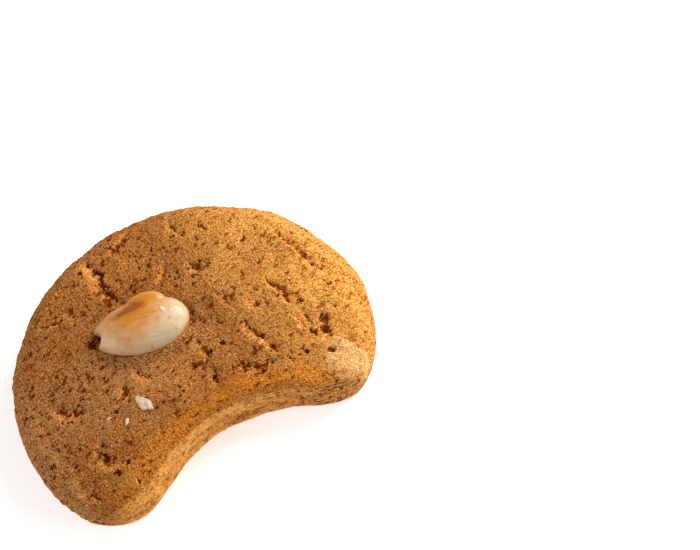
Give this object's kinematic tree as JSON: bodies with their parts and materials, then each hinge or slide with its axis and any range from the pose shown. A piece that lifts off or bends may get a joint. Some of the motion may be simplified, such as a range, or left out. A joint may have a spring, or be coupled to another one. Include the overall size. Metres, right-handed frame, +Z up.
{
  "type": "crescent lebkuchen",
  "caption": "Crescent-shaped baked gingerbread biscuit with a cracked golden-brown crust and a blanched almond pressed into the top.",
  "frame": {"origin": "on the table, under the middle of the biscuit's box", "axes": "+X along the crescent from tip to tip, +Y from the hollow front edge to the round back, +Z up through the baked crust"},
  "size_m": [0.077, 0.0579, 0.0153],
  "materials": {
    "crust": "matte, porous, golden brown",
    "nut": "satin, cream with toasted patches"
  },
  "bodies": {
    "root": {"biscuit": "crust", "almond": "nut"}
  },
  "joints": []
}
